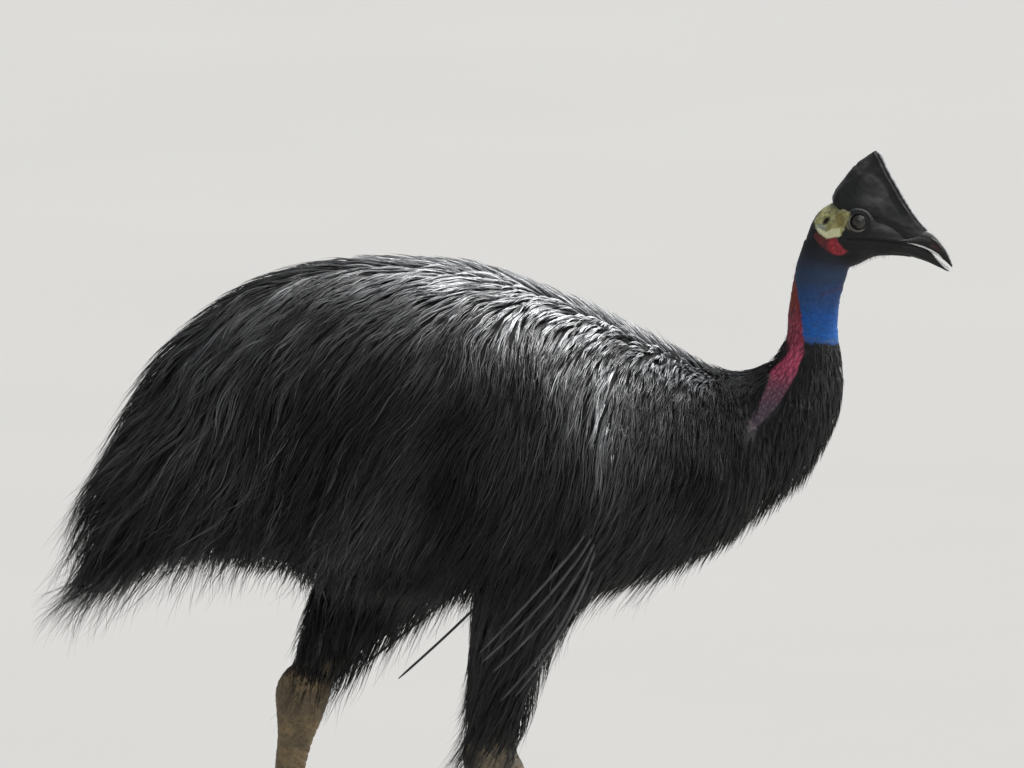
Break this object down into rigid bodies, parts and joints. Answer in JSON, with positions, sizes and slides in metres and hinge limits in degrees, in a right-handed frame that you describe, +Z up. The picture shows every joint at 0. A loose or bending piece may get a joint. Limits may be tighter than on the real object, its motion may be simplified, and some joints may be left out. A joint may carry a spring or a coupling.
{
  "type": "dwarf cassowary",
  "caption": "Life-size still model of a dwarf cassowary in a slow stride, with shaggy black plumage, a blue bare neck, a low pointed casque and long clawed feet.",
  "frame": {"origin": "the floor point under the middle of the bird's bounding box", "axes": "+X the way the bird faces, +Y its left side, +Z up"},
  "size_m": [0.9244, 0.3212, 0.845],
  "materials": {
    "plumage": "long hair-like glossy black feathers",
    "neck_skin": "bare blue skin, fine wrinkles, with a red to magenta stripe behind",
    "head_skin": "bare dark skin with a pale patch behind the eye and a red patch below it",
    "casque_horn": "satin horn, slightly scuffed",
    "bill_horn": "satin horn",
    "eye": "wet gloss",
    "leg_skin": "scaly grey-brown skin",
    "claw": "satin horn"
  },
  "bodies": {
    "root": {"trunk": "plumage", "tail": "plumage", "neck_lower": "plumage", "thigh_left": "plumage", "thigh_right": "plumage", "wing_left": "plumage", "wing_right": "plumage", "neck_upper": "neck_skin", "head": "head_skin", "casque": "casque_horn", "bill_upper": "bill_horn", "bill_lower": "bill_horn", "eye_left": "eye", "eye_right": "eye", "shank_left": "leg_skin", "toe_left_inner": "leg_skin", "claw_left_inner": "claw", "toe_left_middle": "leg_skin", "claw_left_middle": "claw", "toe_left_outer": "leg_skin", "claw_left_outer": "claw", "shank_right": "leg_skin", "toe_right_inner": "leg_skin", "claw_right_inner": "claw", "toe_right_middle": "leg_skin", "claw_right_middle": "claw", "toe_right_outer": "leg_skin", "claw_right_outer": "claw"}
  },
  "joints": []
}
